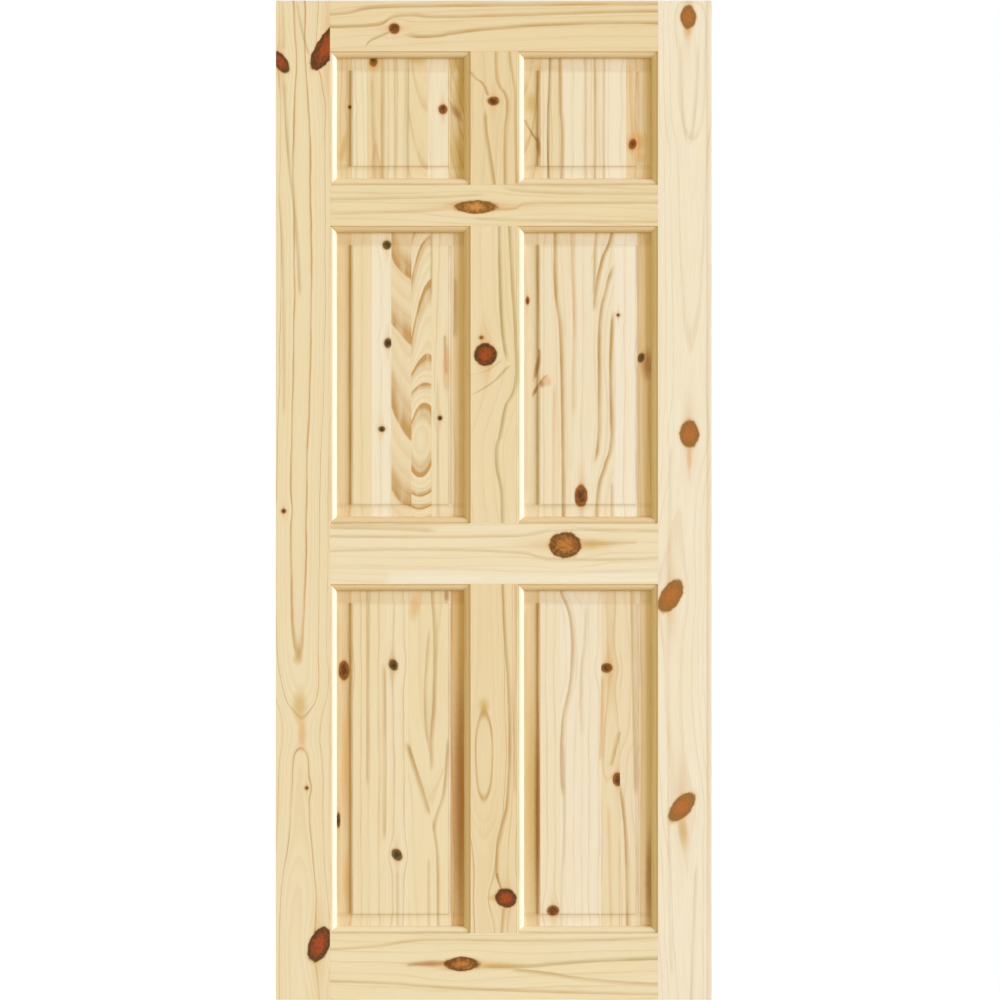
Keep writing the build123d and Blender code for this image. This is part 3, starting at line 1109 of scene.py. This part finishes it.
def painted_field_edge_shade(name):
    """Painted shade along a panel's left moulding, beside the left edge of its raised field where the step
    casts its shadow, and over the lit step at its right edge.
    """
    opening = panel_opening(name)
    rows = photo_y(opening.top - FIELD_END), photo_y(opening.bottom + FIELD_END)
    foot = photo_x(opening.left + MOULDING_WIDTH)
    left, right = photo_x(opening.left + FIELD_SIDE), photo_x(opening.right - FIELD_SIDE)
    # each of these streaks is painted shade
    return [
        Streak([(y, foot + 0.8) for y in rows], 2.5, 4, 0.22, "olive"),
        Streak([(y, left + 0.3) for y in rows], 4.2, -5, 0.42, "brown", SHORT_RUN_OUT),
        Streak([(y, right - 0.2) for y in rows], 1.6, 4, 0.45, "brown", SHORT_RUN_OUT),
    ]


def painted_quirk_shade(name):
    """Painted shade in the quirks right of the left stile and of the mullions, and above the rails."""
    half = QUIRK_FLAT / 2
    above, beside = [], []
    if name in RAIL_ROWS:
        above = [hole for (row, _), hole in OPENINGS.items() if row == RAIL_ROWS[name][1]]
    elif name == "left_stile":
        beside = [OPENINGS[row, "left"] for row in ROWS]
    elif name.endswith("mullion"):
        beside = [OPENINGS[name.split("_")[0], "right"]]
    paths = []
    for hole in above:
        paths.append([(photo_x(x), photo_y(hole.bottom + half)) for x in (hole.left, hole.right)])
    for hole in beside:
        paths.append([(photo_y(z), photo_x(hole.left + half)) for z in (hole.top, hole.bottom)])
    # painted shade: each quirk gets a darker olive line
    return [Streak(path, 2.2, 0, 0.4, "olive", SHORT_RUN_OUT) for path in paths]


def streak_share(t, streak, across):
    """How much of one streak's colour shows."""
    path = [(t.to_along(place), t.to_across(value)) for place, value in streak.points]
    first, last = min(path)[0], max(path)[0]
    run_out = min(STREAK_END * (last - first), streak.run_out)
    half = STREAK_CORE * streak.width * MM_PER_PIXEL / 2
    tail = STREAK_TAIL * abs(streak.soft) * MM_PER_PIXEL
    side = -1.0 if streak.soft < 0 else 1.0
    offset = t.times(t.subtract(across, t.curve(t.along, path)), side)
    rise = t.fade(offset, -half - STREAK_BLUR, -half + STREAK_RISE)
    fall = t.fade(offset, half + STREAK_BLUR + tail, -half)
    ends = t.times(t.fade(t.along, first, first + run_out), t.fade(t.along, last, last - run_out))
    return t.times(rise, t.times(fall, ends), STREAK_SHOW * streak.strength)


def painted_level_shade(t, name):
    """How much painted shade lies on a panel's upper bevel, under its head moulding, and along the lower
    edge of its field.
    """
    opening = panel_opening(name)

    def near(edge_height, span):
        return t.fade(t.height, *(edge_height * MM + limit for limit in span))

    bevel = t.times(near(opening.top - FIELD_END, UPPER_BEVEL_RISE), UPPER_BEVEL_SHADE)
    foot = opening.bottom + FIELD_END
    line = t.times(near(foot, FIELD_FOOT_RISE), near(foot, FIELD_FOOT_FALL))
    return t.scale(line, FIELD_FOOT_SHADE, bevel)


def paint_streaks(t, colour, name, jitter, uneven):
    """The board's own growth lines, and the painted shade along its edges and in its quirks."""
    is_panel = name.endswith("panel")
    streaks = [Streak(*row) for row in STREAKS[name]]
    # painted shade along the field's edges or in the quirks
    streaks += painted_field_edge_shade(name) if is_panel else painted_quirk_shade(name)
    across = t.add(t.across, jitter)
    vary = t.scale(uneven, *STREAK_VARY)
    for streak in streaks:
        share = t.share(streak_share(t, streak, across), vary)
        colour = t.mix(share, colour, linear(STREAK_COLOURS[streak.tone]))
    if is_panel:
        # painted shade on the upper bevel and along the field's foot
        colour = t.mix(painted_level_shade(t, name), colour, linear(STREAK_COLOURS["brown"]))
    return colour


def paint_fibres(t, colour, threads, fibres):
    """The finest shades of the grain: fibres, threads and dark dashes."""
    dashes = t.fade(t.grain_noise(DASH_SCALE, detail=1), *DASH_FADE)
    shade = t.scale(t.centred(fibres), FIBRE_SHOW, 1.0)
    shade = t.scale(t.centred(threads), THREAD_SHOW, shade)
    shade = t.scale(dashes, DASH_SHOW, shade)
    return t.mix(1.0, colour, t.vector(shade, shade, shade), blend="MULTIPLY")


def home_mask(t, knot):
    """The mask of the strip that a knot lies on."""
    place = knot.x if t.upright else knot.y
    return next(mask for mask, strip in zip(t.masks, t.strips) if strip.start <= place < strip.end)


def paint_knot(t, colour, knot, node, rays):
    """A knot with its halo and its trail, and where its body lies."""
    mask, distance = home_mask(t, knot), node.outputs["Distance"]
    core, rim = (linear(c) for c in KNOT_COLOURS[knot.tone])
    radius = math.sqrt(knot.width * knot.height) * MM_PER_PIXEL / 2
    blur = KNOT_BLUR / radius
    colour = t.mix(t.times(node.outputs["Trail"], mask, TRAIL_SHOW), colour, linear(WARM_WOOD))
    halo = t.fade(distance, 1.0 + HALO_REACH / radius, HALO_START)
    colour = t.mix(t.times(halo, mask, HALO_SHOW), colour, linear(WARM_WOOD))
    body = t.times(t.fade(distance, 1.0 + blur, 1.0 - blur), mask)
    shade = t.add(t.scale(t.fade(distance, *RIM_FADE), RIM_SHADE, CORE_SHADE), rays)
    knot_colour = t.mix(t.share(shade, 1.0), core, rim)
    return t.mix(t.times(body, KNOT_SHOW), colour, knot_colour), body


def paint_knots(t, knots, colour, roughness, relief):
    """Knots and stains, each on its own strip only."""
    place = t.vector(t.times(t.along, RAY_ALONG), t.times(t.across, RAY_ACROSS), t.shift)
    rays = t.times(t.centred(t.noise(place, roughness=0.6)), RAY_SHOW)
    for knot, node in knots:
        if knot.tone in STAIN_COLOURS:
            stain, cover = STAIN_COLOURS[knot.tone]
            share = t.times(t.fade(node.outputs["Distance"], *STAIN_FADE), home_mask(t, knot), cover)
            colour = t.mix(share, colour, linear(stain))
        else:
            colour, body = paint_knot(t, colour, knot, node, rays)
            roughness = t.scale(body, KNOT_POLISH, roughness)
            relief = t.scale(body, KNOT_RELIEF, relief)
    return colour, roughness, relief


def pine(name, strips, upright, face_level, seed):
    """Bare knotty pine on one board or one glued-up panel."""
    material = bpy.data.materials.new(f"{name}_pine")
    material.use_nodes = True
    material.node_tree.nodes.clear()
    t = Wood(material.node_tree, strips, upright, face_level, seed)
    knots = add_knots(t, name)
    jitter = t.times(t.centred(t.grain_noise(JITTER_SCALE)), JITTER)
    uneven = t.fade(t.grain_noise(UNEVEN_SCALE), *UNEVEN_FADE)
    threads = t.grain_noise(THREAD_SCALE, detail=3, roughness=0.6)
    fibres = t.grain_noise(FIBRE_SCALE)

    rings = ring_shade(t, bend_grain(t, knots, jitter), uneven)
    colour = t.mix(rings, wood_colour(t, threads), linear(LATE_WOOD))
    colour = paint_streaks(t, colour, name, jitter, uneven)
    colour = paint_fibres(t, colour, threads, fibres)
    relief = t.scale(rings, RING_RELIEF, t.times(fibres, FIBRE_RELIEF))
    colour, roughness, relief = paint_knots(t, knots, colour, WOOD_ROUGHNESS, relief)

    bump = t.node("ShaderNodeBump")
    bump.inputs["Strength"].default_value = BUMP_STRENGTH
    bump.inputs["Distance"].default_value = BUMP_DISTANCE
    t.plug(bump.inputs["Height"], relief)
    surface = t.node("ShaderNodeBsdfPrincipled")
    surface.inputs["Specular IOR Level"].default_value = WOOD_SHINE
    t.plug(surface.inputs["Base Color"], colour)
    t.plug(surface.inputs["Roughness"], roughness)
    t.plug(surface.inputs["Normal"], bump.outputs["Normal"])
    t.plug(t.node("ShaderNodeOutputMaterial").inputs["Surface"], surface.outputs["BSDF"])
    return material


def dress(boards):
    """Give every board its own piece of pine."""
    for seed, (name, piece) in enumerate(boards.items()):
        if name in FRAME_GRAIN:
            wood = pine(name, FRAME_GRAIN[name], name not in RAIL_ROWS, HALF_THICKNESS, seed)
        else:
            wood = pine(name, PANEL_GRAIN[name], True, FIELD_HALF, seed)
        piece.data.materials.clear()
        piece.data.materials.append(wood)


# Stage, light and camera, in metres; colours as linear light

WHITE = (1, 1, 1, 1)
FLOOR_WIDTH = 2.4
FLOOR_FRONT = 1.2
FLOOR_BACK = 0.2
FLOOR_COLOUR = (0.9, 0.9, 0.89, 1)
FLOOR_ROUGHNESS = 0.8
FLOOR_GLOW = 0.4
CAMERA_LENS = 250.0
CAMERA_SENSOR = 36.0
CAMERA_REACH = 100
SKY_LIGHT = 0.89
SKY_COLOUR = (1.0, 0.84, 0.45, 1.0)
KEY_LIGHT = 2.75
KEY_DIRECTION = (0.87, -0.34, 0.2)
KEY_COLOUR = (1.0, 1.17, 1.57)
BACK_LIGHT = 2.1
BACK_DIRECTION = (-0.8, 0.45, 0.4)
LIGHT_SOFTNESS = math.radians(26)


def make_floor():
    """A plain pale floor under the leaf."""
    mesh = bpy.data.meshes.new("floor")
    built = bmesh.new()
    middle = DOOR_LOW.x + DOOR_WIDTH / 2
    left, right = middle - FLOOR_WIDTH / 2, middle + FLOOR_WIDTH / 2
    corners = ((left, -FLOOR_FRONT), (right, -FLOOR_FRONT), (right, FLOOR_BACK), (left, FLOOR_BACK))
    built.faces.new([built.verts.new((x, y, DOOR_LOW.z)) for x, y in corners])
    built.to_mesh(mesh)
    built.free()
    floor = bpy.data.objects.new("floor", mesh)
    bpy.context.scene.collection.objects.link(floor)
    material = bpy.data.materials.new("floor_pale")
    material.use_nodes = True
    surface = material.node_tree.nodes["Principled BSDF"]
    surface.inputs["Base Color"].default_value = FLOOR_COLOUR
    surface.inputs["Roughness"].default_value = FLOOR_ROUGHNESS
    surface.inputs["Emission Color"].default_value = WHITE
    surface.inputs["Emission Strength"].default_value = FLOOR_GLOW
    mesh.materials.append(material)
    floor.visible_diffuse = False


def add_sun(name, strength, direction):
    """A soft distant light that shines from a direction."""
    data = bpy.data.lights.new(name, "SUN")
    data.energy = strength
    data.color = KEY_COLOUR
    data.angle = LIGHT_SOFTNESS
    lamp = bpy.data.objects.new(name, data)
    lamp.rotation_euler = Vector(direction).to_track_quat("Z", "Y").to_euler()
    bpy.context.scene.collection.objects.link(lamp)


def light_scene():
    """A grazing key from the upper right, a like one for the back, and a warm sky that is seen as white."""
    add_sun("key", KEY_LIGHT, KEY_DIRECTION)
    add_sun("back key", BACK_LIGHT, BACK_DIRECTION)
    world = bpy.data.worlds.new("studio")
    world.use_nodes = True
    t = Tree(world.node_tree)
    background = world.node_tree.nodes["Background"]
    seen = t.node("ShaderNodeLightPath").outputs["Is Camera Ray"]
    ray = t.node("ShaderNodeSeparateXYZ")
    t.plug(ray.inputs[0], t.node("ShaderNodeTexCoord").outputs["Generated"])
    rise = t.times(ray.outputs["Z"], ray.outputs["Z"])
    level = t.scale(rise, -SKY_LIGHT, SKY_LIGHT)
    t.plug(background.inputs["Color"], t.mix(seen, SKY_COLOUR, WHITE))
    t.plug(background.inputs["Strength"], t.math("MAXIMUM", level, seen))
    bpy.context.scene.world = world
    bpy.context.scene.view_settings.view_transform = "Standard"


def make_camera():
    """A long lens square to the front face, framed as in the photograph."""
    data = bpy.data.cameras.new("camera")
    data.lens = CAMERA_LENS
    data.sensor_width = CAMERA_SENSOR
    data.clip_end = CAMERA_REACH
    camera = bpy.data.objects.new("camera", data)
    frame_height = PHOTO_SIZE * MM_PER_PIXEL / MM
    distance = frame_height / CAMERA_SENSOR * CAMERA_LENS
    middle_x = DOOR_LOW.x + DOOR_WIDTH / 2
    photo_middle = (PHOTO_LEFT + PHOTO_RIGHT) / 2
    camera.location = (
        middle_x + (PHOTO_SIZE / 2 - photo_middle) * MM_PER_PIXEL / MM,
        DOOR_LOW.y - distance,
        DOOR_LOW.z + door_z(PHOTO_SIZE / 2) / MM,
    )
    camera.rotation_euler = (math.radians(90), 0, 0)
    bpy.context.scene.collection.objects.link(camera)
    bpy.context.scene.camera = camera


dress(make_boards())
make_floor()
light_scene()
make_camera()
